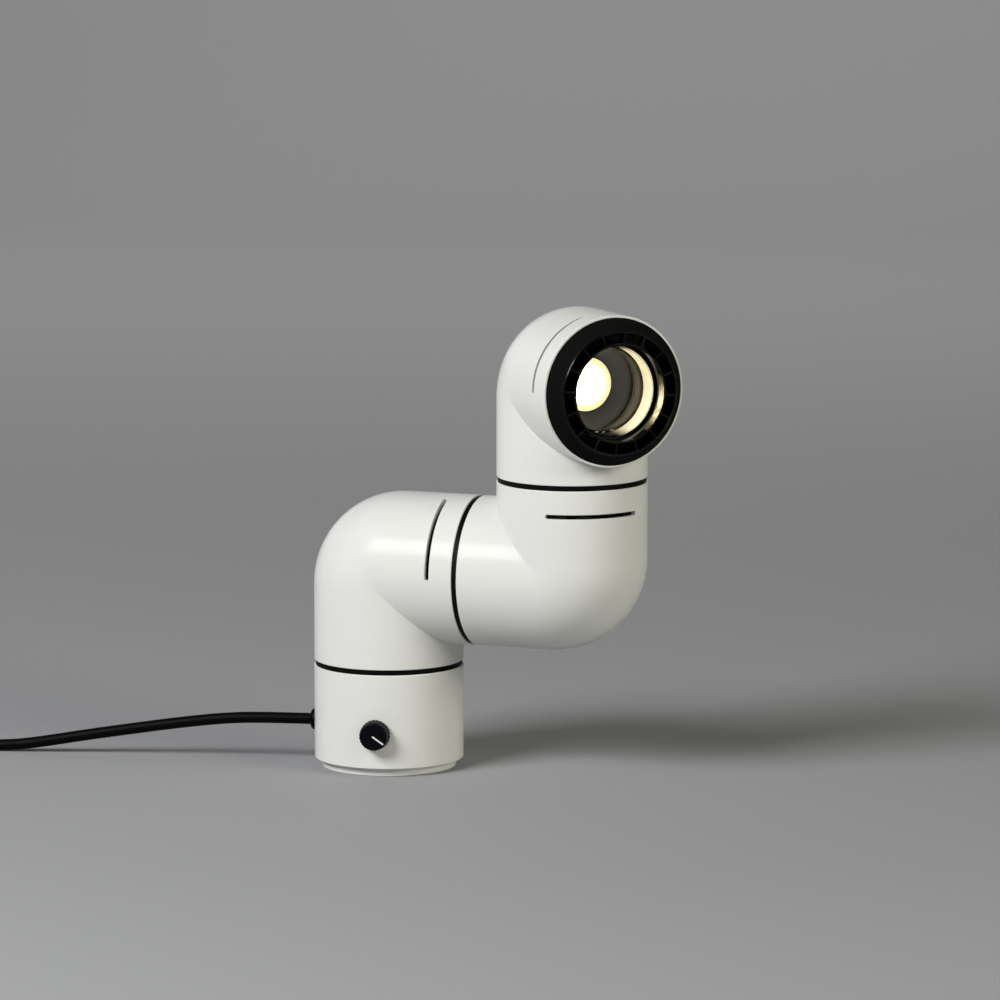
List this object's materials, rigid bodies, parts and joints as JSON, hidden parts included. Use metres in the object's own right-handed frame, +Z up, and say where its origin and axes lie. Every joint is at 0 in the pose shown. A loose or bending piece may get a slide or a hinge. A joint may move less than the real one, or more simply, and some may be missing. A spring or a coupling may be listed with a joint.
{
  "type": "tabletop searchlight lamp",
  "caption": "White table spotlight of stacked right-angled tube elbows that swivel on a round weighted base, with a black nose round the lamp, a dimmer knob and a mains lead.",
  "frame": {"origin": "middle of the round foot, on the table", "axes": "+Z up; +X along the horizontal arm, from the base towards the upright; +Y to the left of that arm, away from the knob"},
  "size_m": [0.5496, 0.1259, 0.2526],
  "materials": {
    "white_shell": "smooth moulded white, soft gloss",
    "ring_black": "moulded black, satin",
    "nose_black": "moulded black, gloss",
    "knob_black": "moulded black, satin",
    "pointer_white": "white line filled in",
    "gland_black": "moulded black, satin",
    "lead_black": "round black flexible lead, satin",
    "inner_lead": "white twin lead",
    "plug_black": "moulded black, satin",
    "pin_brass": "turned, bright",
    "foot_rubber": "matt",
    "plated_steel": "zinc plated",
    "cast_weight": "as cast, painted dark grey",
    "board_green": "circuit board lacquer",
    "board_dark": "moulded component bodies",
    "bulb_white": "white moulded lamp body",
    "bulb_reflector": "bright metallised bowl",
    "bulb_lens": "clear",
    "bulb_glow": "glowing warm white",
    "holder_ceramic": "unglazed off-white"
  },
  "bodies": {
    "base": {"base_shell": "white_shell", "foot_plate": "white_shell", "foot_pad": "foot_rubber", "cover_screws": "plated_steel", "ballast_weight": "cast_weight", "dimmer_board": "board_green", "board_parts": "board_dark", "dimmer_pot": "plated_steel", "pot_nut": "plated_steel", "cord_gland": "gland_black", "gland_nut": "gland_black", "cord_clamp": "gland_black", "inner_cord": "lead_black", "cord_run": "lead_black", "cord_coil": "lead_black", "cord_tail": "lead_black", "plug_body": "plug_black", "plug_pins": "pin_brass", "base_swivel_disc": "ring_black", "base_pivot_tube": "plated_steel", "base_spring_washer": "plated_steel", "base_pivot_nuts": "plated_steel", "base_lead": "inner_lead"},
    "lower_elbow": {"lower_elbow_shell": "white_shell", "lower_inlet_plate": "ring_black", "elbow_swivel_disc": "ring_black", "elbow_pivot_tube": "plated_steel", "elbow_spring_washer": "plated_steel", "elbow_pivot_nuts": "plated_steel", "lower_lead": "inner_lead"},
    "upper_elbow": {"upper_elbow_shell": "white_shell", "upper_inlet_plate": "ring_black", "head_swivel_disc": "ring_black", "head_pivot_tube": "plated_steel", "head_spring_washer": "plated_steel", "head_pivot_nuts": "plated_steel", "upper_lead": "inner_lead"},
    "head": {"head_shell": "white_shell", "head_inlet_plate": "ring_black", "front_nose": "nose_black", "bulb_housing": "bulb_white", "bulb_reflector": "bulb_reflector", "bulb_lens": "bulb_lens", "bulb_emitter": "bulb_glow", "bulb_pins": "plated_steel", "lamp_holder": "holder_ceramic", "lamp_bracket": "plated_steel", "bracket_screws": "plated_steel", "head_lead": "inner_lead"},
    "knob": {"dimmer_knob": "knob_black", "knob_pointer": "pointer_white", "pot_shaft": "plated_steel"}
  },
  "joints": [
    {"name": "base_swivel", "type": "hinge", "parent": "base", "child": "lower_elbow", "pos_m": [0, 0, 0.0564], "axis": [0, 0, 1], "range_deg": [-165, 165]},
    {"name": "elbow_swivel", "type": "hinge", "parent": "lower_elbow", "child": "upper_elbow", "pos_m": [0.0521, 0, 0.1085], "axis": [1, 0, 0], "range_deg": [-90, 90]},
    {"name": "head_swivel", "type": "hinge", "parent": "upper_elbow", "child": "head", "pos_m": [0.1041, 0, 0.1606], "axis": [0, 0, 1], "range_deg": [-165, 165]},
    {"name": "dimmer_turn", "type": "hinge", "parent": "base", "child": "knob", "pos_m": [0.00859, -0.04417, 0.0234], "axis": [0.1908, -0.9816, 0], "range_deg": [-26, 274]}
  ]
}
